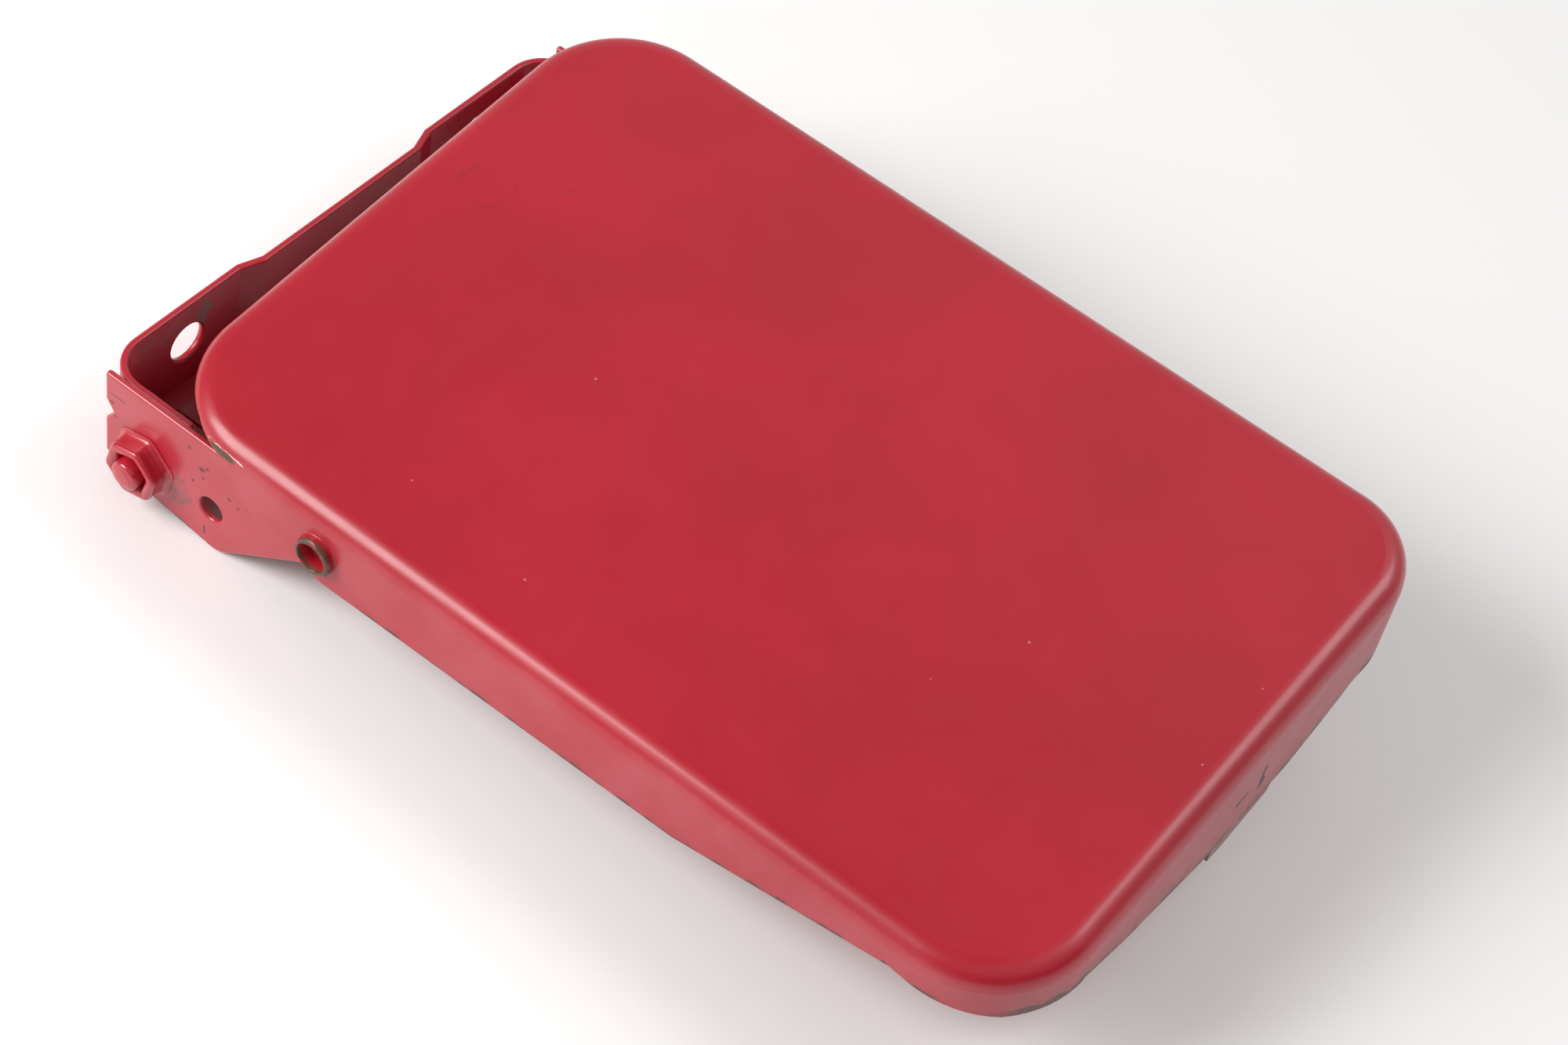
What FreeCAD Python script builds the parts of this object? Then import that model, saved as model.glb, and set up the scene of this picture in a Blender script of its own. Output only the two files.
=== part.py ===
import FreeCAD
import Part
import math
import os
import Sketcher
from FreeCAD import Placement, Rotation, Vector

# Fuel filler flap of a car with its hinge bracket, lengths in mm.
# Origin: midway between the two bracket mounting holes, on the mounting face.
# +X points from the hinge to the free end, +Y along the hinge axis, +Z up.

doc = FreeCAD.newDocument("filler_flap")
sheet = doc.addObject("Spreadsheet::Sheet", "dims")

DIMS = {
    # lid pan
    "lid_x": 12.8,
    "lid_len": 189.8,
    "lid_half": 62.6,
    "lid_mid": 22.6,
    "lid_tilt": 6.4,
    "corner_rad": 21.0,
    "tight_rad": 16.0,
    "fold_rad": 4.5,
    "skin": 1.0,
    "lip": 2.2,
    "lip_run": 24.0,
    # lower edge of the pan, heights of the trimmed flange
    "near_low": -1.4,
    "near_rise": 7.8,
    "near_end": 5.4,
    "far_low": 11.5,
    "far_end": 11.0,
    "end_low": -0.6,
    "taper_from": 134.0,
    "taper_to": 178.0,
    # hinge arms
    "arm_top": 10.6,
    "arm_x": 3.1,
    "arm_low": -15.7,
    "arm_reach": 64.0,
    "arm_gauge": 1.4,
    "shoulder": 24.0,
    "port_x": 28.8,
    "port_z": -5.4,
    "port_rad": 2.6,
    # bracket
    "strip_gauge": 1.5,
    "strip_gap": 0.3,
    "strip_top": 9.5,
    "strip_low": -11.9,
    "strip_reach": 22.0,
    "bend_rad": 8.5,
    "jog": 1.7,
    "jog_half": 23.0,
    "jog_run": 2.5,
    "hole_half": 39.3,
    "hole_rad": 4.0,
    "shelf": 11.0,
    "nook": 14.5,
    "nook_deep": 5.2,
    "slit": 0.5,
    # pivots
    "pivot_x": 12.7,
    "pivot_z": -5.5,
    "shank_rad": 3.0,
    "run_fit": 0.06,
    "nut_flats": 10.8,
    "nut_high": 4.0,
    "nut_gap": 0.15,
    "bolt_out": 1.6,
    "head_rad": 4.2,
    "head_high": 2.2,
    # tubular rivets
    "rivet_back": 9.4,
    "rivet_near": 5.7,
    "rivet_far": 18.0,
    "rivet_rim": 4.4,
    "rivet_high": 1.9,
    "rivet_bore": 2.2,
    # catch tongue at the free end
    "tongue_y": 3.0,
    "tongue_wide": 18.5,
    "tongue_low": -8.4,
    "tongue_gauge": 1.5,
}
DERIVED = {
    "lid_end": "lid_x + lid_len",
    "skin_in": "lid_half - skin",
    "arm_in": "lid_half - skin - arm_gauge",
    "strip_half": "arm_in - strip_gap",
    "strip_in": "strip_half - strip_gauge",
    "nook_y": "strip_half - nook",
    "rivet_x": "arm_reach - rivet_back",
    "shelf_top": "strip_low + strip_gauge",
    "flank": "lid_half - corner_rad",
}
row = 1
for alias, value in DIMS.items():
    sheet.set("A%d" % row, alias)
    sheet.set("B%d" % row, str(value))
    sheet.setAlias("B%d" % row, alias)
    row += 1
for alias, formula in DERIVED.items():
    sheet.set("A%d" % row, alias)
    sheet.set("B%d" % row, "=" + formula)
    sheet.setAlias("B%d" % row, alias)
    row += 1
doc.recompute()
NAMES = sorted(list(DIMS) + list(DERIVED), key=len, reverse=True)


def expr(text):
    """Spreadsheet expression with every named dimension bound to the sheet."""
    out = ""
    word = ""
    for ch in str(text) + " ":
        if ch.isalnum() or ch == "_" or (ch == "." and word):
            word += ch
            continue
        out += "dims." + word if word in NAMES else word
        word = ""
        out += ch
    return out.strip()


def value(text):
    """Present number of a dimension expression."""
    probe = doc.addObject("App::FeaturePython", "probe")
    probe.addProperty("App::PropertyFloat", "Number")
    probe.setExpression("Number", expr(text))
    probe.recompute()
    number = probe.Number
    doc.removeObject(probe.Name)
    return number


def bind(obj, path, text):
    obj.setExpression(path, expr(text))


def put(obj, x, y, z):
    bind(obj, "Placement.Base.x", x)
    bind(obj, "Placement.Base.y", y)
    bind(obj, "Placement.Base.z", z)


def box(name, x, y, z):
    """Block from three (low, high) pairs of dimension expressions."""
    obj = doc.addObject("Part::Box", name)
    for path, (low, high) in (("Length", x), ("Width", y), ("Height", z)):
        bind(obj, path, "(%s) - (%s)" % (high, low))
    put(obj, x[0], y[0], z[0])
    return obj


def rod(name, radius, length, x, y, z, side):
    """Cylinder along the hinge axis, running outward from y on the given side."""
    obj = doc.addObject("Part::Cylinder", name)
    bind(obj, "Radius", radius)
    bind(obj, "Height", length)
    obj.Placement = Placement(Vector(), Rotation(Vector(1, 0, 0), -90 * side))
    put(obj, x, y, z)
    return obj


def cut(name, base, *tools):
    for count, tool in enumerate(tools):
        result = doc.addObject("Part::Cut", "%s_%d" % (name, count))
        result.Base = base
        result.Tool = tool
        base = result
    doc.recompute()
    return base


def fuse(name, *shapes):
    result = doc.addObject("Part::MultiFuse", name)
    result.Shapes = list(shapes)
    doc.recompute()
    return result


def common(name, base, tool):
    result = doc.addObject("Part::Common", name)
    result.Base = base
    result.Tool = tool
    doc.recompute()
    return result


def rounded(name, base, radius, wanted):
    """Fillet on every edge for which wanted(edge) holds."""
    doc.recompute()
    size = value(radius)
    picks = [i for i, edge in enumerate(base.Shape.Edges, 1) if wanted(edge)]
    result = doc.addObject("Part::Fillet", name)
    result.Base = base
    result.Edges = [(i, size, size) for i in picks]
    doc.recompute()
    return result


def along(edge, axis):
    """True for a straight edge parallel to the axis."""
    if len(edge.Vertexes) != 2:
        return False
    step = edge.Vertexes[1].Point - edge.Vertexes[0].Point
    return step.Length > 1e-6 and step.cross(axis).Length < 1e-6 * step.Length


TURN = {
    "XY": Rotation(),
    "XZ": Rotation(Vector(1, 0, 0), 90),
    "YZ": Rotation(0.5, 0.5, 0.5, 0.5),
}
PUSH = {"XY": Vector(0, 0, 1), "XZ": Vector(0, 1, 0), "YZ": Vector(1, 0, 0)}
NORMAL = {"XY": "z", "XZ": "y", "YZ": "x"}


def outline(name, plane, corners, level):
    """Closed sketch of dimension expressions on a plane at the given level."""
    sketch = doc.addObject("Sketcher::SketchObject", name + "_outline")
    sketch.Placement = Placement(Vector(), TURN[plane])
    spots = [Vector(value(a), value(b), 0) for a, b in corners]
    for i, spot in enumerate(spots):
        sketch.addGeometry(Part.LineSegment(spot, spots[(i + 1) % len(spots)]))
    for i in range(len(spots)):
        sketch.addConstraint(Sketcher.Constraint("Coincident", i, 2, (i + 1) % len(spots), 1))
    for i, (a, b) in enumerate(corners):
        for kind, text, now in (("DistanceX", a, spots[i].x), ("DistanceY", b, spots[i].y)):
            index = sketch.addConstraint(Sketcher.Constraint(kind, i, 1, now))
            bind(sketch, "Constraints[%d]" % index, text)
    bind(sketch, "Placement.Base." + NORMAL[plane], level)
    return sketch


def turned(name, profile, x, z):
    """Solid turned about a line along the hinge axis; the profile is pairs of radius and y."""
    solid = doc.addObject("Part::Revolution", name)
    solid.Source = outline(name, "XY", [("%s + %s" % (x, r), y) for r, y in profile], z)
    solid.Axis = Vector(0, 1, 0)
    solid.Angle = 360
    solid.Solid = True
    bind(solid, "Base.x", x)
    bind(solid, "Base.z", z)
    doc.recompute()
    return solid


def plate(name, plane, corners, low, high):
    """Solid from a closed outline of dimension expressions, low to high along the plane normal."""
    solid = doc.addObject("Part::Extrusion", name)
    solid.Base = outline(name, plane, corners, low)
    solid.DirMode = "Custom"
    solid.Dir = PUSH[plane]
    solid.Solid = True
    bind(solid, "LengthFwd", "(%s) - (%s)" % (high, low))
    doc.recompute()
    return solid


def slab(name, x, level, thick):
    """Wide block lying along the tilted lid plane: its lower face at `level` over y = 0."""
    obj = doc.addObject("Part::Box", name)
    bind(obj, "Width", "4 * lid_half")
    bind(obj, "Length", "(%s) - (%s)" % (x[1], x[0]))
    bind(obj, "Height", thick)
    obj.Placement = Placement(Vector(), Rotation(Vector(1, 0, 0), 1))
    bind(obj, "Placement.Rotation.Angle", "lid_tilt")
    put(obj, x[0], "-2 * lid_half * cos(lid_tilt * 1deg)", "(%s) - 2 * lid_half * sin(lid_tilt * 1deg)" % level)
    return obj


NODES = {}


def keep(node, obj):
    """Hand a finished sub-part its node name."""
    obj.Label = node
    NODES[node] = obj


# Lid pan: rounded block, tilted top, folded rim, hollowed to sheet and trimmed round its lower edge.
UP = Vector(0, 0, 1)


def pan_block(name, inset):
    """Rounded block under the tilted lid plane with its rim rolled over, pulled in by `inset`."""
    flat = "lid_mid - (%s) / cos(lid_tilt * 1deg)" % inset
    body = box(
        name + "_block",
        ("lid_x + %s" % inset, "lid_end - %s" % inset),
        ("-lid_half + %s" % inset, "lid_half - %s" % inset),
        ("-1.5 * lid_mid", "2 * lid_mid"),
    )
    end, half = value("lid_end - %s" % inset), value("lid_half - %s" % inset)

    def tight(edge):
        return along(edge, UP) and (edge.CenterOfMass - Vector(end, half, edge.CenterOfMass.z)).Length < 1e-4

    def wide(edge):
        return along(edge, UP) and edge.CenterOfMass.x + edge.CenterOfMass.y < end + half - sheet.corner_rad

    body = rounded(name + "_tight", body, "tight_rad - %s" % inset, tight)
    body = rounded(name + "_corners", body, "corner_rad - %s" % inset, wide)
    body = cut(name + "_top", body, slab(name + "_over", ("lid_x - 9", "lid_end + 9"), flat, "3 * lid_mid"))
    mid = value(flat)
    slope = math.tan(math.radians(sheet.lid_tilt))

    def on_rim(edge):
        return all(abs(p.z - mid - slope * p.y) < 1e-4 for p in edge.discretize(3))

    return rounded(name + "_rim", body, "fold_rad - %s" % inset, on_rim)


shell = cut("pan", pan_block("outer", "0"), pan_block("inner", "skin"))
near_edge = [
    ("0", "-2 * lid_mid"), ("0", "arm_top + 4"), ("lip_run", "arm_top + 3"), ("lid_x + corner_rad - 0.5", "arm_top + 0.5"),
    ("lid_x + corner_rad + 2", "near_low + 6"), ("lid_x + corner_rad + 22", "near_low"),
    ("taper_from", "near_low + 1.5"), ("taper_to", "near_rise"), ("lid_end - 6", "near_end"),
    ("lid_end + 9", "near_end + 1.6"), ("lid_end + 9", "-2 * lid_mid"),
]
far_edge = [
    ("0", "-2 * lid_mid"), ("0", "shoulder + 2"), ("lid_x + corner_rad - 0.5", "shoulder + 0.5"),
    ("lid_x + corner_rad + 2", "far_low + 6"), ("lid_x + corner_rad + 22", "far_low"), ("taper_from", "far_low"),
    ("taper_to", "far_end + 1.5"), ("lid_end - 5.4", "far_end"), ("lid_end", "far_end - 4"),
    ("lid_end + 9", "far_end - 4"), ("lid_end + 9", "-2 * lid_mid"),
]
end_edge = [
    ("-flank", "-2 * lid_mid"), ("-flank", "near_end + 1.2"), ("-28", "end_low + 3.6"), ("-3", "end_low"), ("23", "end_low + 1.6"),
    ("flank - 6.6", "end_low + 4.9"), ("flank", "far_end - 4"), ("flank", "-2 * lid_mid"),
]
shell = cut(
    "trim", shell,
    plate("near_trim", "XZ", near_edge, "-lid_half - 5", "-flank"),
    plate("far_trim", "XZ", far_edge, "flank", "lid_half + 5"),
    plate("end_trim", "YZ", end_edge, "lid_end - 12", "lid_end + 5"),
    slab("lip_trim", ("0", "lip_run"), "lid_mid - lip - 3 * lid_mid / cos(lid_tilt * 1deg)", "3 * lid_mid"),
    box("hollow", ("0", "lid_end - 12"), ("-flank", "flank"), ("-2 * lid_mid", "-0.9 * lid_mid")),
    rod("near_eye", "shank_rad + run_fit", "9", "rivet_x", "-lid_half + 5", "rivet_near", -1),
    rod("far_eye", "shank_rad + run_fit", "9", "rivet_x", "lid_half - 5", "rivet_far", 1),
)
keep("lid_panel", shell)

# Hinge arms: flat plates inside the side flanges, with a notch, a port and the pivot eye.
toe = [
    ("arm_reach", "near_low + 5"), ("lid_x + 38", "near_low"), ("port_x + 1.8", "arm_low"), ("arm_x + 4", "arm_low + 3"),
    ("arm_x", "arm_low + 6"), ("arm_x", "pivot_z + 4.2"), ("arm_x + 1.9", "pivot_z + 6.8"), ("arm_x", "pivot_z + 9.4"),
    ("arm_x", "arm_top"),
]
near_form = toe + [("arm_reach", "arm_top")]
far_form = toe + [
    ("lid_x + corner_rad - 3", "arm_top"), ("lid_x + corner_rad + 3", "shoulder"), ("arm_reach", "shoulder"),
]


def heel(edge):
    """Vertical-side edges of the lower bulge and the end of an arm, which are cut round."""
    if not along(edge, Vector(0, 1, 0)):
        return False
    spot = edge.CenterOfMass
    return abs(spot.z - sheet.arm_low) < 4.0 and spot.x > sheet.arm_x + 1.0


for side, place, form, pin in ((-1, "near", near_form, "rivet_near"), (1, "far", far_form, "rivet_far")):
    outer, inner = ("-skin_in", "-arm_in") if side < 0 else ("arm_in", "skin_in")
    arm = plate(place + "_arm", "XZ", form, outer, inner)
    arm = rounded(place + "_heel", arm, "corner_rad / 5", heel)
    root = "%d * (arm_in - 5)" % side
    arm = cut(
        place + "_arm_eyes", arm,
        rod(place + "_eye", "shank_rad + run_fit", "14", "pivot_x", root, "pivot_z", side),
        rod(place + "_port", "port_rad", "14", "port_x", root, "port_z", side),
        rod(place + "_pin_eye", "shank_rad + run_fit", "14", "rivet_x", root, pin, side),
    )
    keep("hinge_arm_" + place, arm)

    # Tubular rivet, turned: clench inside, shank, rim outside with a flared blind bore.
    profile = [
        ("0", "arm_in - 1.1"), ("rivet_rim * 0.9", "arm_in - 1.1"), ("rivet_rim * 0.9", "arm_in"),
        ("shank_rad", "arm_in"), ("shank_rad", "lid_half"), ("rivet_rim", "lid_half"),
        ("rivet_rim", "lid_half + rivet_high * 0.6"), ("rivet_rim - rivet_high * 0.3", "lid_half + rivet_high"),
        ("rivet_bore + 0.6", "lid_half + rivet_high"), ("rivet_bore", "lid_half + rivet_high * 0.4"),
        ("rivet_bore", "lid_half - 1.4"), ("0", "lid_half - 1.4"),
    ]
    profile = [(r, "%d * (%s)" % (side, y)) for r, y in profile]
    keep("rivet_" + place, turned(place + "_rivet", profile, "rivet_x", pin))

    # Pivot bolt, turned: low head inside the bracket, round-ended shank outward through bracket, arm and nut.
    tip = "skin_in + nut_gap + nut_high + bolt_out"
    profile = [
        ("0", "strip_in - head_high"), ("head_rad - head_high * 0.4", "strip_in - head_high"),
        ("head_rad", "strip_in - head_high * 0.6"), ("head_rad", "strip_in"), ("shank_rad", "strip_in"),
        ("shank_rad", tip + " - 0.42 * shank_rad"), ("0.72 * shank_rad", tip + " - 0.09 * shank_rad"), ("0", tip),
    ]
    profile = [(r, "%d * (%s)" % (side, y)) for r, y in profile]
    keep("pivot_bolt_" + place, turned(place + "_bolt", profile, "pivot_x", "pivot_z"))

    # Hexagon nut with its outer corners turned off.
    start = "%d * (skin_in + nut_gap)" % side
    hexagon = doc.addObject("Part::Prism", place + "_hexagon")
    hexagon.Polygon = 6
    bind(hexagon, "Circumradius", "nut_flats / sqrt(3)")
    bind(hexagon, "Height", "nut_high")
    hexagon.Placement = Placement(
        Vector(), Rotation(Vector(1, 0, 0), -90 * side).multiply(Rotation(Vector(0, 0, 1), 15))
    )
    put(hexagon, "pivot_x", start, "pivot_z")
    bevel = doc.addObject("Part::Cone", place + "_bevel")
    bind(bevel, "Radius1", "nut_flats / 2 + nut_high * 1.2")
    bind(bevel, "Radius2", "nut_flats / 2 - 0.3")
    bind(bevel, "Height", "nut_high")
    bevel.Placement = Placement(Vector(), Rotation(Vector(1, 0, 0), -90 * side))
    put(bevel, "pivot_x", start, "pivot_z")
    blank = common(place + "_nut_blank", hexagon, bevel)
    bore = rod(place + "_nut_bore", "shank_rad + run_fit", "nut_high + 4", "pivot_x", "%d * arm_in" % side, "pivot_z", side)
    keep("pivot_nut_" + place, cut(place + "_nut", blank, bore))

# Hinge bracket: strip bent to a U with a set-back middle, an inward shelf below, two bolt holes and two pivot eyes.
reach, step = "strip_reach", "strip_gauge"
turn_out, turn_in = "jog_half + jog_run", "jog_half - jog_run"
strip_form = [
    (reach, "-strip_half"), ("0", "-strip_half"), ("0", "-(%s)" % turn_out), ("jog", "-(%s)" % turn_in),
    ("jog", turn_in), ("0", turn_out), ("0", "strip_half"), (reach, "strip_half"),
    (reach, "strip_in"), (step, "strip_in"), (step, turn_out + " + 0.5"), ("jog + strip_gauge", turn_in + " + 0.5"),
    ("jog + strip_gauge", "-(%s + 0.5)" % turn_in), (step, "-(%s + 0.5)" % turn_out), (step, "-strip_in"),
    (reach, "-strip_in"),
]
strip = plate("strip", "XY", strip_form, "strip_low", "strip_top")


def bend(edge, offset):
    """Upright edge at a corner of the U, on its outer or inner face."""
    spot = edge.CenterOfMass
    half = sheet.strip_half - offset
    return along(edge, UP) and abs(spot.x - offset) < 1e-4 and abs(abs(spot.y) - half) < 1e-4


strip = rounded("strip_bend", strip, "bend_rad", lambda e: bend(e, 0.0))
strip = rounded("strip_bend_in", strip, "bend_rad - strip_gauge", lambda e: bend(e, sheet.strip_gauge))
root = "strip_gauge - 0.5"
ledge = ("strip_low", "shelf_top")
pieces = [strip, box("shelf_back", (root, "shelf"), ("-nook_y", "nook_y"), ledge)]
for side, place in ((-1, "near"), (1, "far")):
    for part, x, inner, outer in (
        ("shelf", ("nook_deep + slit", "strip_reach - 1"), "nook_y + slit", "strip_in + 0.5"),
        ("nook", (root, "nook_deep"), "nook_y - slit", "strip_half - bend_rad"),
        ("nook_end", ("2 * strip_gauge", "nook_deep"), "nook_y - slit", "strip_half - 2.6 * strip_gauge"),
    ):
        y = (inner, outer) if side > 0 else ("-(%s)" % outer, "-(%s)" % inner)
        pieces.append(box("%s_%s" % (place, part), x, y, ledge))
bracket = fuse("bracket_blank", *pieces)
tools = []
for side, place in ((-1, "near"), (1, "far")):
    hole = doc.addObject("Part::Cylinder", place + "_hole")
    bind(hole, "Radius", "hole_rad")
    bind(hole, "Height", "4 * hole_rad")
    hole.Placement = Placement(Vector(), Rotation(Vector(0, 1, 0), 90))
    put(hole, "-2 * hole_rad", "%d * hole_half" % side, "0")
    tools.append(hole)
    tools.append(
        rod(place + "_bracket_eye", "shank_rad + run_fit", "9", "pivot_x", "%d * (strip_in - 4)" % side, "pivot_z", side)
    )
keep("hinge_bracket", cut("bracket_holes", bracket, *tools))

# Catch tongue: plate against the inner face of the free-end flange, its lower edge cut on a slant.
tongue = [
    ("tongue_y", "lid_mid / 2"), ("tongue_y", "tongue_low"), ("tongue_y + 4.5", "tongue_low"),
    ("tongue_y + tongue_wide", "tongue_low + 2.6"), ("tongue_y + tongue_wide", "lid_mid / 2"),
]
keep("catch_tongue", plate("tongue", "YZ", tongue, "lid_end - skin - tongue_gauge", "lid_end - skin"))

doc.recompute()
for obj in doc.Objects:
    if "Invalid" in obj.State or "Error" in obj.State:
        raise RuntimeError("%s did not build: %s" % (obj.Label, obj.State))
os.makedirs("parts", exist_ok=True)
for node, obj in NODES.items():
    shape = obj.Shape
    if shape.isNull() or not shape.isValid() or len(shape.Solids) != 1:
        raise RuntimeError("%s is not one sound solid: %d" % (node, len(shape.Solids)))
    shape.exportStep("parts/%s.step" % node)
    print(node, round(shape.Volume, 1), [round(v, 2) for v in (shape.BoundBox.XLength, shape.BoundBox.YLength, shape.BoundBox.ZLength)])
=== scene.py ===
import math

import bmesh
import bpy
from mathutils import Matrix, Vector


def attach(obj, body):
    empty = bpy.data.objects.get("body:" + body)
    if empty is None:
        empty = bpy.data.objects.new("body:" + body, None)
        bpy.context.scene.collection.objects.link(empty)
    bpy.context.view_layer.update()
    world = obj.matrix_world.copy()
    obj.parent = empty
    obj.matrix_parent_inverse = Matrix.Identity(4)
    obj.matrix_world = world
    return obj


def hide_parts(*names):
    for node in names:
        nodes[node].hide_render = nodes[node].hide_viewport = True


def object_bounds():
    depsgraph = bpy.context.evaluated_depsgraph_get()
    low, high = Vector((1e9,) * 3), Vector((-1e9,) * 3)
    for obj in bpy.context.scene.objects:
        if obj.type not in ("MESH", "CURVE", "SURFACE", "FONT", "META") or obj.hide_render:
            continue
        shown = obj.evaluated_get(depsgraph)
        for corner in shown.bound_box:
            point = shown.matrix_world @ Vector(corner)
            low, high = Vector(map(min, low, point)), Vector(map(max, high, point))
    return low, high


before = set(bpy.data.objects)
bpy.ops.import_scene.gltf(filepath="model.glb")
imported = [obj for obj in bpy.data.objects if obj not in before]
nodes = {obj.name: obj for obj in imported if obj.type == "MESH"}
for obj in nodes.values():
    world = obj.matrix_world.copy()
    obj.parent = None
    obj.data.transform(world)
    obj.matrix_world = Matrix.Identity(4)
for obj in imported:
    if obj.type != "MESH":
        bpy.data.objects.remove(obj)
cad_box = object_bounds()

MM = 0.001
SIDES = (("near", -1), ("far", 1))

# Sizes in millimetres that pieces and paint marks are placed by.
LID_END = 202.6
LID_SIDE = 62.6
ARM_FACE = 61.6
ARM_INSIDE = 60.2
PIVOT = (12.7, -5.5)
NUT_TURN = 15.0
RIVET_X = 54.6
RIVET_Z = {"near": 5.7, "far": 18.0}
NUT_LIFT = 0.1
NUT = {"Corner": 6.3, "Round": 1.8, "High": 3.95, "Skirt": 1.2, "Shoulder": 0.9, "Bore": 2.4}
RIVET = {"Wall": 4.0, "Foot": 0.35, "High": 1.85, "Roll": 0.8, "Deep": 1.3, "Dent": 0.35,
         "Clench": 3.9, "Clench Depth": 1.1, "Sheet": LID_SIDE - ARM_INSIDE}
BOLT = {"Shank": 3.0, "Tip": 5.7, "Round": 1.1, "Grip": 3.2, "Head": 4.15, "Head High": 2.15}

# Cut lower edges as (place along the edge, height).
# Pits in the near arm's paint as x, z, half width, half height.
NEAR_CUT = (
    (0.0, 14.0), (33.8, 11.0), (36.0, 4.6), (56.0, -1.4), (134.0, 0.1), (178.0, 7.8), (196.6, 5.4), (212.0, 7.0))
END_CUT = (
    (-64.0, 6.6), (-41.6, 6.6), (-28.0, 3.0), (-3.0, -0.6), (23.0, 1.0), (35.0, 4.3), (41.6, 7.0), (64.0, 11.0))
ARM_CUT = ((0.0, -9.7), (3.1, -9.7), (7.1, -12.7), (30.6, -15.7), (50.8, -1.4), (64.0, 3.6))
ARM_PITS = (
    (26.6, 3.6, 0.7, 0.6), (23.5, 7.1, 0.4, 0.4), (24.5, -0.9, 0.3, 0.3), (26.9, 1.4, 0.35, 0.35),
    (33.1, 0.9, 0.45, 0.35), (35.3, 0.2, 0.35, 0.35), (4.8, 3.9, 0.4, 0.4), (5.6, 0.9, 0.45, 0.35),
    (27.8, 4.6, 0.35, 0.3), (6.4, 6.2, 1.7, 0.22), (27.5, -12.0, 0.3, 1.4))

# Rounding of sheet edges by the paint film: its size, and the height below which the film is thin, in mm.
BRACKET_EDGE, BRACKET_THIN_BELOW = 0.6, -9.0
ARM_EDGE, ARM_THIN_BELOW = 0.55, -20.0
THIN_SHARE = 0.2
SHARP_ANGLE = math.radians(40)
FLAT_ANGLE = math.radians(0.4)
WELD = 2e-6

# Colours of the finishes, as sRGB hex.
CRIMSON = "#B51129"
CRIMSON_DEEP = "#AB0F24"
# Paler pink: chalked paint on the arms, and a painted reflection on the lid's near faces.
CRIMSON_CHALK_AND_SHEEN = "#BC4A54"
MAROON = "#8E1222"
# Grey of the painted glints inside the bracket.
GLINT_GREY = "#74504F"
RUBBED_GREY = "#8A807B"
BARE_STEEL = "#54381F"
STEEL_BROWN = "#53352A"
PIT_DARK = "#4A060A"
CRACK_BLACK = "#140405"
FILLER_PALE = "#E4D6CE"
DUST_PALE = "#D9A9A6"
# Grey-brown: grime on the lid's free end, and dirt with painted shade beside the near nut.
GRIME_AND_SHADE = "#6E4646"
FLOOR_WHITE = "#FAF9F8"

# Satin paint: range of its roughness, and its orange peel in mm across and high.
SATIN = (0.36, 0.44)
PEEL_WIDE, PEEL_HIGH = 1.8, 0.006
GRAIN_CORE, GRAIN_EDGE, GRAIN_SHARE = 0.12, 0.3, 0.55

# Floor, light and camera, in metres.
FLOOR_GAP = 0.0002
FLOOR_REACH = 6.0
LIGHT_AIM = Vector((0.1, 0.0, 0.01))
CAMERA_PLACE = (0.30125, -0.35691, 0.47314)
CAMERA_RIGHT = Vector((0.77987, 0.60937, 0.14312))
CAMERA_DOWN = Vector((0.54256, -0.54407, -0.64002))
CAMERA_FORWARD = Vector((-0.31213, 0.57677, -0.75492))
LENS_MM, SENSOR_MM = 80.39, 36.0

MATH = "ShaderNodeMath"
FADE = "ShaderNodeMapRange"
VECTOR = "ShaderNodeVectorMath"


def colour(code):
    """Linear RGBA of an sRGB hex value."""
    parts = [int(code[i:i + 2], 16) / 255 for i in (1, 3, 5)]
    linear = [c / 12.92 if c <= 0.04045 else ((c + 0.055) / 1.055) ** 2.4 for c in parts]
    return (*linear, 1.0)


def add(tree, kind, inputs=None, **settings):
    """Adds one node with its settings and links.

    inputs maps a socket name or number to a value, a socket, or a node whose first output is used."""
    made = tree.nodes.new(kind)
    for name, setting in settings.items():
        setattr(made, name, setting)
    for key, given in (inputs or {}).items():
        if isinstance(given, bpy.types.Node):
            given = next(out for out in given.outputs if out.enabled)
        if isinstance(given, bpy.types.NodeSocket):
            tree.links.new(given, made.inputs[key])
        else:
            made.inputs[key].default_value = given
    return made


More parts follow.
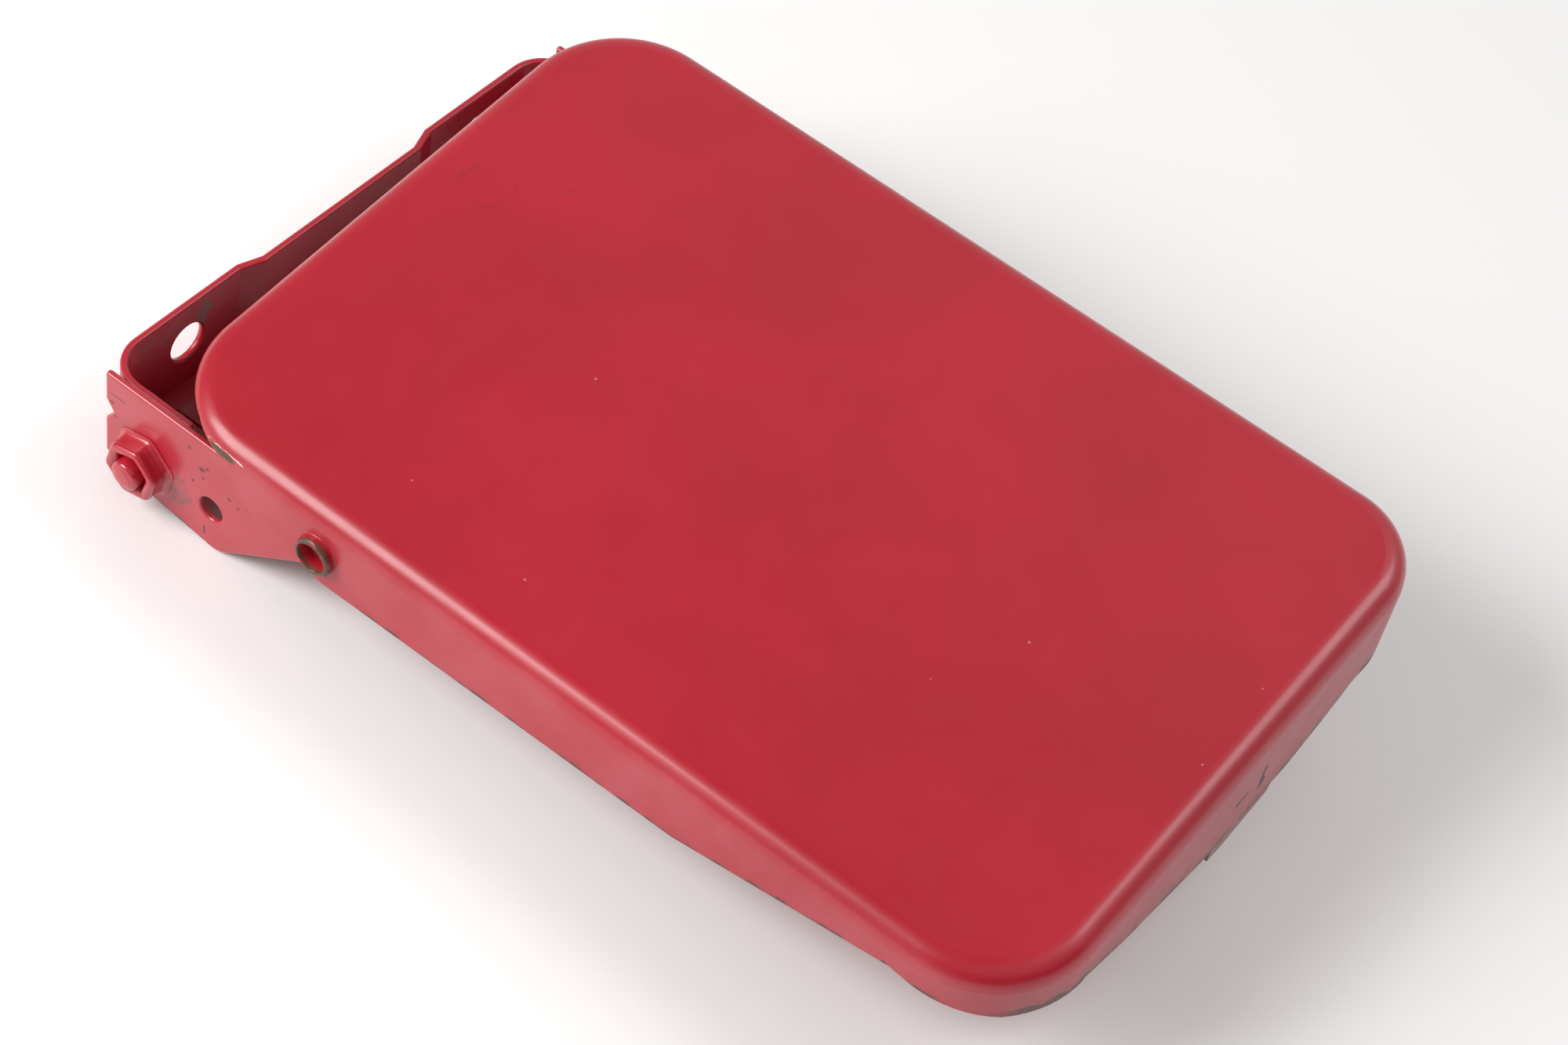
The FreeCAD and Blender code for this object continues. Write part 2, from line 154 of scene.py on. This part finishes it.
class Finish:
    """Enamel sprayed on steel, built up in layers of colour, roughness and height in millimetres.

    Satin gloss with a slight cloud in the colour. The orange peel is drawn coarser than it is, to show."""

    def __init__(self, name, light, deep, lumps):
        self.material = bpy.data.materials.new(name)
        self.material.use_nodes = True
        self.tree = self.material.node_tree
        self.tree.nodes.clear()
        coords = add(self.tree, "ShaderNodeTexCoord")
        self.mm = add(self.tree, VECTOR, {0: coords.outputs["Object"], "Scale": 1000.0}, operation="SCALE")
        self.x, self.y, self.z = add(self.tree, "ShaderNodeSeparateXYZ", {0: self.mm}).outputs
        self.facing = add(self.tree, "ShaderNodeSeparateXYZ", {0: coords.outputs["Normal"]}).outputs
        self.ragged = self.blotches(1.4, 0.0, 1.0, 2.0)
        cloud = self.blotches(34.0, 0.3, 0.7, 3.0)
        self.base = add(
            self.tree, "ShaderNodeMix", {0: cloud, 6: colour(deep), 7: colour(light)}, data_type="RGBA")
        self.rough = add(self.tree, FADE, {0: self.blotches(9.0, 0.2, 0.8, 3.0), 3: SATIN[0], 4: SATIN[1]})
        peel = self.blotches(PEEL_WIDE, 0.0, 1.0, 1.0)
        self.height = add(self.tree, MATH, {0: peel, 1: PEEL_HIGH}, operation="MULTIPLY")
        if lumps:
            self.raise_by(self.blotches(2.6, 0.0, 1.0, 1.0), lumps)

    def blotches(self, size, low, high, detail=3.0, stretch=(1.0, 1.0, 1.0)):
        """Cloudy pattern about `size` mm across, drawn out by `stretch`, stepped from 0 at low to 1 at high."""
        placed = add(self.tree, "ShaderNodeMapping", {
            "Vector": self.mm, "Location": (size, 2 * size, 3 * size),
            "Scale": tuple(1 / (size * drawn) for drawn in stretch)})
        noise = add(self.tree, "ShaderNodeTexNoise", {"Vector": placed, "Scale": 1.0, "Detail": detail})
        return add(self.tree, FADE, {0: noise, 1: low, 2: high}, interpolation_type="SMOOTHSTEP")

    def raise_by(self, mask, millimetres):
        """Raises the surface where the mask is 1."""
        self.height = add(self.tree, MATH, {0: mask, 1: millimetres, 2: self.height}, operation="MULTIPLY_ADD")

    def reach(self, centre, half, ragged):
        """Distance from a mark's middle in units of its half sizes, made uneven by the ragged pattern."""
        away = add(self.tree, VECTOR, {0: self.mm, 1: centre}, operation="SUBTRACT")
        away = add(self.tree, VECTOR, {0: away, 1: half}, operation="DIVIDE")
        length = add(self.tree, VECTOR, {0: away}, operation="LENGTH")
        uneven = add(self.tree, MATH, {0: self.ragged, 1: 2 * ragged, 2: -ragged}, operation="MULTIPLY_ADD")
        return add(self.tree, MATH, {0: length, 1: uneven}, operation="ADD")

    def spot(self, centre, half, ragged=0.35):
        """Mask of a ragged-edged mark of the given half sizes in mm."""
        return add(self.tree, FADE, {0: self.reach(centre, half, ragged), 1: 0.88, 2: 1.12, 3: 1.0, 4: 0.0})

    def ring(self, centre, half, width, ragged=0.2):
        """Mask of the outline of such a mark."""
        off = add(self.tree, MATH, {0: self.reach(centre, half, ragged), 1: 1.0}, operation="SUBTRACT")
        off = add(self.tree, MATH, {0: off}, operation="ABSOLUTE")
        return add(self.tree, FADE, {0: off, 1: width * 0.4, 2: width, 3: 1.0, 4: 0.0})

    def above_edge(self, along, stations):
        """Height in mm over a cut edge given as (place along it, level) stations."""
        low, high = stations[0][0], stations[-1][0]
        levels = [level for _, level in stations]
        floor, roof = min(levels), max(levels)
        share = add(self.tree, FADE, {0: along, 1: low, 2: high})
        curve = add(self.tree, "ShaderNodeFloatCurve", {"Value": share})
        points = curve.mapping.curves[0].points
        while len(points) < len(stations):
            points.new(0.5, 0.5)
        for point, (place, level) in zip(points, stations):
            point.location = ((place - low) / (high - low), (level - floor) / (roof - floor))
            point.handle_type = "VECTOR"
        curve.mapping.update()
        level = add(self.tree, FADE, {0: curve, 3: floor, 4: roof})
        return add(self.tree, MATH, {0: self.z, 1: level}, operation="SUBTRACT")

    def lay(self, masks, code, share=1.0, rough=None, height=None):
        """Lays a colour where all masks meet, with its roughness, and raises or sinks it there."""
        mask = add(self.tree, MATH, {0: masks[0], 1: share}, operation="MULTIPLY")
        for other in masks[1:]:
            mask = add(self.tree, MATH, {0: mask, 1: other}, operation="MULTIPLY")
        self.base = add(self.tree, "ShaderNodeMix", {0: mask, 6: self.base, 7: colour(code)}, data_type="RGBA")
        if rough is not None:
            self.rough = add(self.tree, "ShaderNodeMix", {0: mask, 2: self.rough, 3: rough})
        if height is not None:
            self.raise_by(mask, height)

    def grains(self, spacing, code, keep):
        """Single grains of dust in the film, at most one to a cell of the given spacing in mm."""
        placed = add(self.tree, "ShaderNodeMapping", {"Vector": self.mm, "Scale": (1 / spacing,) * 3})
        cells = add(self.tree, "ShaderNodeTexVoronoi", {"Vector": placed, "Scale": 1.0})
        grain = add(self.tree, FADE, {
            0: cells.outputs["Distance"], 1: GRAIN_CORE / spacing, 2: GRAIN_EDGE / spacing, 3: 1.0, 4: 0.0})
        pick = add(self.tree, "ShaderNodeSeparateColor", {0: cells.outputs["Color"]})
        kept = add(self.tree, FADE, {0: pick, 1: 1 - keep, 2: 1.02 - keep})
        self.lay([grain, kept], code, GRAIN_SHARE)

    def shade(self, coat, coat_rough):
        """Closes the finish with a thin clear gloss over it and returns the material."""
        bump = add(self.tree, "ShaderNodeBump", {"Height": self.height, "Strength": 1.0, "Distance": MM})
        shader = add(self.tree, "ShaderNodeBsdfPrincipled", {
            "Base Color": self.base, "Roughness": self.rough, "Normal": bump, "IOR": 1.5, "Metallic": 0.0,
            "Coat Weight": coat, "Coat Roughness": coat_rough})
        add(self.tree, "ShaderNodeOutputMaterial", {"Surface": shader})
        return self.material


def lid_enamel():
    """Lid paint: rubbed lines and dried rings on top, a chip, cracks, and bare metal along the cut edges."""
    paint = Finish("red_enamel_on_lid", CRIMSON, CRIMSON_DEEP, 0.0)
    tree = paint.tree
    paint.raise_by(paint.blotches(1.2, 0.0, 1.0, 1.0, (26.0, 1.0, 1.0)), 0.0035)
    # Painted reflection: faces turned to the near side are laid a paler pink, standing in for the floor's glare
    # on them.
    side = add(tree, FADE, {0: paint.facing[1], 1: -0.95, 2: -0.7, 3: 1.0, 4: 0.0})
    paint.lay([side, paint.blotches(16.0, 0.3, 0.75, 4.0)], CRIMSON_CHALK_AND_SHEEN, 0.6, 0.5)
    broken = paint.blotches(3.0, 0.42, 0.55, 1.0)
    for centre, half in (((27.0, 11.0, 23.8), (5.2, 5.2, 9.0)), ((34.5, 19.5, 24.7), (4.6, 3.4, 9.0))):
        paint.lay([paint.ring(centre, half, 0.06), broken], MAROON, 0.5, 0.5)
    paint.grains(9.0, DUST_PALE, 0.3)
    paint.grains(21.0, PIT_DARK, 0.2)
    # Chip on the fold at the near hinge corner: steel shows, the broken film has a thin pale rim.
    upper = add(tree, FADE, {0: paint.z, 1: 12.5, 2: 12.9})
    pale_rim = paint.ring((32.2, -62.1, 12.75), (5.0, 2.5, 0.8), 0.13, 0.2)
    paint.lay([pale_rim, upper, paint.blotches(2.0, 0.35, 0.5, 1.0)], FILLER_PALE, 0.9, 0.5)
    paint.lay([paint.spot((31.6, -62.1, 12.75), (3.4, 2.5, 0.6), 0.25)], BARE_STEEL, 1.0, 0.7, -0.08)
    # Cracks in the film on the free-end flange.
    for centre, half in (
            ((LID_END, 11.4, 9.2), (2.0, 0.5, 3.6)), ((LID_END, 11.9, 7.2), (2.0, 0.9, 1.3)),
            ((LID_END, 5.1, 8.9), (2.0, 1.9, 0.42)), ((LID_END, 4.2, 8.4), (2.0, 0.7, 0.6))):
        paint.lay([paint.spot(centre, half, 0.5)], CRACK_BLACK, 1.0, 0.8, -0.15)
    # Cut lower edges: paint is thin and broken there, with grime above it on the free end.
    near = paint.above_edge(paint.x, NEAR_CUT)
    end = paint.above_edge(paint.y, END_CUT)
    on_near = add(tree, FADE, {0: paint.y, 1: -LID_SIDE + 1.2, 2: -LID_SIDE + 0.6})
    on_end = add(tree, FADE, {0: paint.x, 1: LID_END - 8.0, 2: LID_END - 3.0})
    patchy = paint.blotches(4.0, 0.3, 0.7, 4.0)
    smear = add(tree, FADE, {0: end, 1: 1.0, 2: 7.0, 3: 1.0, 4: 0.0})
    paint.lay([on_end, smear, patchy], GRIME_AND_SHADE, 0.6, 0.6)
    past_arm = add(tree, FADE, {0: paint.x, 1: 58.0, 2: 62.0})
    for place, drop, width in ((on_near, near, 1.0), (on_end, end, 1.8)):
        rise = add(tree, MATH, {0: patchy, 1: -width, 2: drop}, operation="MULTIPLY_ADD")
        bare = add(tree, FADE, {0: rise, 1: -0.5, 2: 0.0, 3: 1.0, 4: 0.0})
        paint.lay([place, past_arm, bare], STEEL_BROWN, 0.9, 0.7, -0.03)
    under = add(tree, FADE, {0: paint.facing[2], 1: -0.8, 2: -0.5, 3: 1.0, 4: 0.0})
    paint.lay([under, paint.blotches(24.0, 0.3, 0.8, 5.0)], STEEL_BROWN, 0.3, 0.6)
    return paint.shade(0.4, 0.2)


def tongue_enamel():
    """Catch tongue paint: rubbed to grey metal where the catch rides on it."""
    paint = Finish("rubbed_enamel_on_tongue", CRIMSON_DEEP, MAROON, 0.02)
    low = add(paint.tree, FADE, {0: paint.z, 1: -7.0, 2: -4.0, 3: 1.0, 4: 0.0})
    paint.lay([low, paint.blotches(3.0, 0.25, 0.5, 3.0)], RUBBED_GREY, 0.9, 0.5)
    return paint.shade(0.3, 0.3)


def arm_enamel():
    """Arm paint: pinholes blown in the film, a crack at the tip, bare brown metal along the lower cut."""
    paint = Finish("red_enamel_on_arm", CRIMSON, CRIMSON_DEEP, 0.02)
    tree = paint.tree
    for x, z, wide, high in ARM_PITS:
        paint.lay([paint.spot((x, -ARM_FACE, z), (wide, 3.0, high), 0.5)], PIT_DARK, 1.0, 0.7, -0.12)
    paint.lay([paint.blotches(12.0, 0.25, 0.75)], CRIMSON_CHALK_AND_SHEEN, 0.4)
    # Grey patch beside the near nut: dirt, with painted shade cast by the nut.
    nut_dirt_and_shade = paint.spot((21.0, -ARM_FACE, -6.2), (3.0, 3.0, 3.4), 0.8)
    paint.lay([nut_dirt_and_shade, paint.blotches(3.0, 0.3, 0.6, 3.0)], GRIME_AND_SHADE, 0.7, 0.6)
    low = paint.above_edge(paint.x, ARM_CUT)
    rise = add(tree, MATH, {0: paint.blotches(3.0, 0.2, 0.8, 3.0), 1: -1.6, 2: low}, operation="MULTIPLY_ADD")
    worn = add(tree, FADE, {0: rise, 1: -0.7, 2: -0.2, 3: 1.0, 4: 0.0})
    by_hinge = add(tree, FADE, {0: paint.x, 1: 25.0, 2: 30.0, 3: 1.0, 4: 0.0})
    paint.lay([worn, by_hinge], STEEL_BROWN, 0.9, 0.7, -0.03)
    paint.grains(7.0, PIT_DARK, 0.15)
    return paint.shade(0.6, 0.18)


def bracket_enamel():
    """Bracket paint: brushed on thick and dull, with painted shade darkening the inside faces and painted grey
    glints streaked along the strip.
    """
    paint = Finish("red_enamel_on_bracket", CRIMSON, CRIMSON_DEEP, 0.04)
    tree = paint.tree
    inward = add(tree, FADE, {0: paint.facing[0], 1: 0.5, 2: 0.8})
    # Painted shade: the inside faces are darkened towards maroon.
    paint.lay([inward], MAROON, 0.3)
    # Painted reflection: grey glints streaked along the strip on the inside faces.
    glint_streak = paint.blotches(0.9, 0.52, 0.64, 4.0, (1.0, 5.0, 1.6))
    paint.lay([inward, glint_streak, paint.blotches(14.0, 0.4, 0.6)], GLINT_GREY, 0.35, 0.4, 0.05)
    # Painted reflection: a grey glint beside the near hole.
    paint.lay([paint.spot((1.5, -35.0, 5.4), (2.0, 1.6, 2.8), 0.6)], GLINT_GREY, 0.8, 0.5, -0.04)
    paint.grains(8.0, PIT_DARK, 0.2)
    return paint.shade(0.25, 0.16)


def fastener_enamel():
    """Enamel on nut and bolt: many coats, lumpy and glossy, with soft ridges."""
    paint = Finish("thick_red_enamel_on_fasteners", CRIMSON, CRIMSON_DEEP, 0.08)
    paint.grains(4.0, PIT_DARK, 0.2)
    return paint.shade(0.8, 0.14)


def rivet_enamel():
    """Rivet paint: rubbed through to brown-grey steel on the rolled rim, red left in the bore."""
    paint = Finish("worn_enamel_on_rivet", CRIMSON, CRIMSON_DEEP, 0.05)
    tree = paint.tree
    out = add(tree, MATH, {0: paint.y}, operation="ABSOLUTE")
    rim = add(tree, FADE, {0: out, 1: LID_SIDE + 0.7, 2: LID_SIDE + 1.3})
    paint.lay([rim, paint.blotches(2.2, 0.36, 0.48, 3.0)], BARE_STEEL, 1.0, 0.55, -0.03)
    return paint.shade(0.4, 0.25)


def enter(piece, body, node):
    """Gives a finished piece its body and lets it stand for a CAD node."""
    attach(piece, body)
    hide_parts(node)


def evaluated(piece):
    """Turns a piece's modifiers into plain mesh."""
    bpy.context.view_layer.update()
    seen = piece.evaluated_get(bpy.context.evaluated_depsgraph_get())
    piece.data = bpy.data.meshes.new_from_object(seen)
    piece.modifiers.clear()
    piece.data.name = piece.name


def dress(piece, material):
    """Gives a piece one material."""
    piece.data.materials.clear()
    piece.data.materials.append(material)


def painted_copy(node, name, edge_mm, thin_below, body, material):
    """Stand-in for a CAD piece with its edges rounded by the paint film, which is thin below a height in mm."""
    mesh = nodes[node].data.copy()
    form = bmesh.new()
    form.from_mesh(mesh)
    bmesh.ops.remove_doubles(form, verts=form.verts, dist=WELD)
    bmesh.ops.dissolve_limit(form, angle_limit=FLAT_ANGLE, verts=form.verts, edges=form.edges)
    rounded = form.edges.layers.float.new("bevel_weight_edge")
    for edge in form.edges:
        if edge.is_convex and edge.calc_face_angle(0.0) > SHARP_ANGLE:
            middle = (edge.verts[0].co.z + edge.verts[1].co.z) / 2
            edge[rounded] = 1.0 if middle > thin_below * MM else THIN_SHARE
    form.to_mesh(mesh)
    form.free()
    piece = bpy.data.objects.new(name, mesh)
    bpy.context.scene.collection.objects.link(piece)
    soft = piece.modifiers.new("paint_edge", "BEVEL")
    soft.width = edge_mm * MM
    soft.segments = 3
    soft.use_clamp_overlap = False
    soft.loop_slide = False
    soft.limit_method = "WEIGHT"
    soft.harden_normals = True
    evaluated(piece)
    dress(piece, material)
    enter(piece, body, node)


def sized_tree(name, sizes):
    """Empty node tree with one named input for each size, and its input sockets."""
    tree = bpy.data.node_groups.new(name, "GeometryNodeTree")
    tree.interface.new_socket("Geometry", in_out="OUTPUT", socket_type="NodeSocketGeometry")
    for size in sizes:
        tree.interface.new_socket(size, in_out="INPUT", socket_type="NodeSocketFloat")
    tree.interface.new_socket("Material", in_out="INPUT", socket_type="NodeSocketMaterial")
    return tree, add(tree, "NodeGroupInput").outputs


def swept(tree, path, points):
    """Surface swept round a path along smooth runs of (outward, up) points, each run a socket pair list."""
    runs = []
    for start, middle, end in points:
        ends = [add(tree, "ShaderNodeCombineXYZ", {0: out, 1: up}) for out, up in (start, middle, end)]
        runs.append(add(tree, "GeometryNodeCurveQuadraticBezier", {
            "Resolution": 8, "Start": ends[0], "Middle": ends[1], "End": ends[2]}))
    joined = add(tree, "GeometryNodeJoinGeometry")
    for run in reversed(runs):
        tree.links.new(run.outputs[0], joined.inputs[0])
    skin = add(tree, "GeometryNodeCurveToMesh", {"Curve": path, "Profile Curve": joined})
    # The sweep hangs below its path, so it is turned over.
    upright = add(tree, "GeometryNodeTransform", {"Geometry": skin, "Scale": (1.0, 1.0, -1.0)})
    return add(tree, "GeometryNodeMergeByDistance", {"Geometry": upright, "Distance": 1e-6})


def finish_tree(tree, shape, material):
    """Ends a tree: smooth shading, Realize Instances, Set Material."""
    smooth = add(tree, "GeometryNodeSetShadeSmooth", {"Geometry": shape})
    real = add(tree, "GeometryNodeRealizeInstances", {"Geometry": smooth})
    covered = add(tree, "GeometryNodeSetMaterial", {"Geometry": real, "Material": material})
    add(tree, "NodeGroupOutput", {"Geometry": covered})


def made_by(tree, name, sizes, material, place):
    """Runs a tree with its sizes in mm and returns the result as a plain placed mesh."""
    piece = bpy.data.objects.new(name, bpy.data.meshes.new(name))
    bpy.context.scene.collection.objects.link(piece)
    maker = piece.modifiers.new(tree.name, "NODES")
    maker.node_group = tree
    for socket in tree.interface.items_tree:
        if socket.in_out == "INPUT":
            maker[socket.identifier] = material if socket.name == "Material" else sizes[socket.name] * MM
    evaluated(piece)
    piece.data.transform(place)
    form = bmesh.new()
    form.from_mesh(piece.data)
    bmesh.ops.recalc_face_normals(form, faces=form.faces)
    form.to_mesh(piece.data)
    form.free()
    return piece


def facing_out(side, x, out, z, turn=0.0):
    """Placement that lays a piece's axis along the hinge line, outward on the given side."""
    shift = Matrix.Translation((x * MM, side * out * MM, z * MM))
    laid = Matrix.Rotation(-side * math.pi / 2, 4, "X")
    return shift @ laid @ Matrix.Rotation(math.radians(turn), 4, "Z")


def nut_tree():
    """Hexagon nut under many coats: soft corners, a skirt of paint at its foot, a sunk face round the bolt."""
    tree, size = sized_tree("painted_nut", ("Corner", "Round", "High", "Skirt", "Shoulder", "Bore"))
    loop = add(tree, "GeometryNodeCurvePrimitiveCircle", {"Resolution": 6, "Radius": size["Corner"]})
    loop = add(tree, "GeometryNodeFilletCurve", {
        "Curve": loop, "Radius": size["Round"], "Count": 5}, mode="POLY")
    foot_top = add(tree, MATH, {0: size["Skirt"], 1: 1.4}, operation="MULTIPLY")
    shoulder_low = add(tree, MATH, {0: size["High"], 1: size["Shoulder"]}, operation="SUBTRACT")
    middle = add(tree, MATH, {0: size["High"], 1: 0.5}, operation="MULTIPLY")
    dished = add(tree, MATH, {0: size["Shoulder"], 1: -0.1}, operation="MULTIPLY")
    inner = add(tree, MATH, {0: size["Shoulder"], 1: -1.0}, operation="MULTIPLY")
    bore = add(tree, MATH, {0: size["Bore"], 1: -1.0}, operation="MULTIPLY")
    shape = swept(tree, loop, (
        ((size["Skirt"], 0.0), (0.0, 0.0), (0.0, foot_top)),
        ((0.0, foot_top), (dished, middle), (0.0, shoulder_low)),
        ((0.0, shoulder_low), (0.0, size["High"]), (inner, size["High"])),
        ((inner, size["High"]), (bore, size["High"]), (bore, foot_top))))
    finish_tree(tree, shape, size["Material"])
    return tree


def rivet_tree():
    """Tubular rivet: a rolled rim with dents, a flared blind bore, and a flat clench on the inside."""
    tree, size = sized_tree("rolled_rivet", (
        "Wall", "Foot", "High", "Roll", "Deep", "Dent", "Clench", "Clench Depth", "Sheet"))
    loop = add(tree, "GeometryNodeCurvePrimitiveCircle", {"Resolution": 40, "Radius": size["Wall"]})
    roll_in = add(tree, MATH, {0: size["Roll"], 1: -1.0}, operation="MULTIPLY")
    side_top = add(tree, MATH, {0: size["High"], 1: size["Roll"]}, operation="SUBTRACT")
    floor = add(tree, MATH, {0: size["Deep"], 1: -1.0}, operation="MULTIPLY")
    bore = add(tree, MATH, {0: size["Roll"], 1: -1.6}, operation="MULTIPLY")
    centre = add(tree, MATH, {0: size["Wall"], 1: -1.0}, operation="MULTIPLY")
    dish = add(tree, MATH, {0: floor, 1: 0.3}, operation="MULTIPLY")
    shape = swept(tree, loop, (
        ((size["Foot"], 0.0), (0.0, 0.0), (0.0, side_top)),
        ((0.0, side_top), (0.0, size["High"]), (roll_in, size["High"])),
        ((roll_in, size["High"]), (bore, side_top), (bore, floor)),
        ((bore, floor), (bore, floor), (centre, dish))))
    shift = add(tree, "ShaderNodeTexNoise", {"Scale": 420.0, "Detail": 1.0})
    shift = add(tree, VECTOR, {0: shift.outputs["Color"], 1: (0.5, 0.5, 0.5)}, operation="SUBTRACT")
    shift = add(tree, VECTOR, {0: shift, "Scale": size["Dent"]}, operation="SCALE")
    shape = add(tree, "GeometryNodeSetPosition", {"Geometry": shape, "Offset": shift})
    back = add(tree, "GeometryNodeMeshCylinder", {
        "Vertices": 40, "Radius": size["Clench"], "Depth": size["Clench Depth"]})
    half = add(tree, MATH, {0: size["Clench Depth"], 1: -0.5}, operation="MULTIPLY")
    drop = add(tree, MATH, {0: half, 1: size["Sheet"]}, operation="SUBTRACT")
    lowered = add(tree, "GeometryNodeTransform", {
        "Geometry": back.outputs["Mesh"], "Translation": add(tree, "ShaderNodeCombineXYZ", {2: drop})})
    both = add(tree, "GeometryNodeJoinGeometry", {0: lowered})
    tree.links.new(shape.outputs[0], both.inputs[0])
    finish_tree(tree, both, size["Material"])
    return tree


def bolt_tree():
    """Pivot bolt: round-edged end, plain shank, low domed head on the inside."""
    tree, size = sized_tree("domed_bolt", ("Shank", "Tip", "Round", "Grip", "Head", "Head High"))
    loop = add(tree, "GeometryNodeCurvePrimitiveCircle", {"Resolution": 48, "Radius": size["Shank"]})
    centre = add(tree, MATH, {0: size["Shank"], 1: -1.0}, operation="MULTIPLY")
    edge = add(tree, MATH, {0: size["Round"], 1: -1.0}, operation="MULTIPLY")
    side_top = add(tree, MATH, {0: size["Tip"], 1: size["Round"]}, operation="SUBTRACT")
    edge_top = add(tree, MATH, {0: size["Round"], 1: -0.15, 2: size["Tip"]}, operation="MULTIPLY_ADD")
    seat = add(tree, MATH, {0: size["Grip"], 1: -1.0}, operation="MULTIPLY")
    brim = add(tree, MATH, {0: size["Head"], 1: size["Shank"]}, operation="SUBTRACT")
    crown = add(tree, MATH, {0: seat, 1: size["Head High"]}, operation="SUBTRACT")
    shape = swept(tree, loop, (
        ((centre, size["Tip"]), (edge, size["Tip"]), (edge, edge_top)),
        ((edge, edge_top), (0.0, edge_top), (0.0, side_top)),
        ((0.0, side_top), (0.0, 0.0), (0.0, seat)),
        ((0.0, seat), (brim, seat), (brim, seat)),
        ((brim, seat), (brim, crown), (centre, crown))))
    finish_tree(tree, shape, size["Material"])
    return tree


paint_of_lid = lid_enamel()
paint_of_arm = arm_enamel()
paint_of_bracket = bracket_enamel()
paint_of_fasteners = fastener_enamel()
paint_of_rivet = rivet_enamel()

dress(nodes["lid_panel"], paint_of_lid)
dress(nodes["catch_tongue"], tongue_enamel())
painted_copy("hinge_bracket", "bracket_painted", BRACKET_EDGE, BRACKET_THIN_BELOW,
             "bracket", paint_of_bracket)
nut_maker, bolt_maker, rivet_maker = nut_tree(), bolt_tree(), rivet_tree()
for side, sign in SIDES:
    painted_copy("hinge_arm_" + side, "arm_painted_" + side, ARM_EDGE, ARM_THIN_BELOW,
                 "lid", paint_of_arm)
    bolt = made_by(bolt_maker, "bolt_painted_" + side, BOLT, paint_of_fasteners,
                   facing_out(sign, PIVOT[0], ARM_FACE, PIVOT[1]))
    enter(bolt, "bracket", "pivot_bolt_" + side)
    nut = made_by(nut_maker, "nut_painted_" + side, NUT, paint_of_fasteners,
                  facing_out(sign, PIVOT[0], ARM_FACE + NUT_LIFT, PIVOT[1], NUT_TURN))
    enter(nut, "bracket", "pivot_nut_" + side)
    rivet = made_by(rivet_maker, "rivet_rolled_" + side, RIVET, paint_of_rivet,
                    facing_out(sign, RIVET_X, LID_SIDE, RIVET_Z[side]))
    enter(rivet, "lid", "rivet_" + side)

# Floor: one pale sheet just under the lowest point of the arms.
lowest = cad_box[0].z - FLOOR_GAP
corners = [(x * FLOOR_REACH, y * FLOOR_REACH, lowest) for x, y in ((-1, -1), (1, -1), (1, 1), (-1, 1))]
mesh = bpy.data.meshes.new("floor")
mesh.from_pydata(corners, [], [(0, 1, 2, 3)])
floor = bpy.data.objects.new("floor", mesh)
bpy.context.scene.collection.objects.link(floor)
board = bpy.data.materials.new("pale_floor_board")
board.use_nodes = True
board.node_tree.nodes.clear()
matt = add(board.node_tree, "ShaderNodeBsdfPrincipled", {
    "Base Color": colour(FLOOR_WHITE), "Roughness": 0.9, "Specular IOR Level": 0.1})
add(board.node_tree, "ShaderNodeOutputMaterial", {"Surface": matt})
dress(floor, board)


def panel(name, place, size, watts, gleam):
    """Soft light panel aimed at the middle of the lid, with the share of it that shows in reflections."""
    light = bpy.data.lights.new(name, "AREA")
    light.specular_factor = gleam
    light.shape = "SQUARE"
    light.size = size
    light.energy = watts
    holder = bpy.data.objects.new(name, light)
    holder.location = place
    holder.rotation_mode = "QUATERNION"
    holder.rotation_quaternion = (LIGHT_AIM - Vector(place)).to_track_quat("-Z", "Y")
    bpy.context.scene.collection.objects.link(holder)


# Soft studio light: a wide panel on the near left, a weak one on the far right,
# and a surround dimmer on the hinge side.
panel("key_panel", (-0.45, -0.6, 0.6), 0.55, 10.0, 1.0)
panel("far_panel", (0.75, 0.75, 1.1), 0.6, 5.0, 0.3)
world = bpy.data.worlds.new("studio")
bpy.context.scene.world = world
world.use_nodes = True
tree = world.node_tree
tree.nodes.clear()
compass = add(tree, "ShaderNodeSeparateXYZ", {0: add(tree, "ShaderNodeTexCoord").outputs["Generated"]})
eased = {"interpolation_type": "SMOOTHSTEP"}
behind = add(tree, FADE, {0: compass.outputs["Y"], 1: 0.33, 2: 0.48, 3: 0.2, 4: 0.62}, **eased)
to_right = add(tree, FADE, {0: compass.outputs["X"], 1: 0.0, 2: 0.4}, **eased)
height = add(tree, FADE, {0: compass.outputs["Z"], 1: 0.3, 2: 0.7, 3: -0.15, 4: 0.4}, **eased)
level = add(tree, MATH, {0: to_right, 1: height, 2: behind}, operation="MULTIPLY_ADD", use_clamp=True)
sky = add(tree, "ShaderNodeBackground", {"Color": (1.0, 1.0, 1.0, 1.0), "Strength": level})
add(tree, "ShaderNodeOutputWorld", {"Surface": sky})

# Camera at the photograph's station.
eye = bpy.data.cameras.new("camera")
eye.sensor_width = SENSOR_MM
eye.lens = LENS_MM
eye.clip_start = 0.02
station = bpy.data.objects.new("camera", eye)
turn = Matrix((CAMERA_RIGHT, -CAMERA_DOWN, -CAMERA_FORWARD)).transposed()
station.matrix_world = Matrix.Translation(CAMERA_PLACE) @ turn.to_4x4()
bpy.context.scene.collection.objects.link(station)
bpy.context.scene.camera = station
bpy.context.scene.view_settings.view_transform = "Standard"
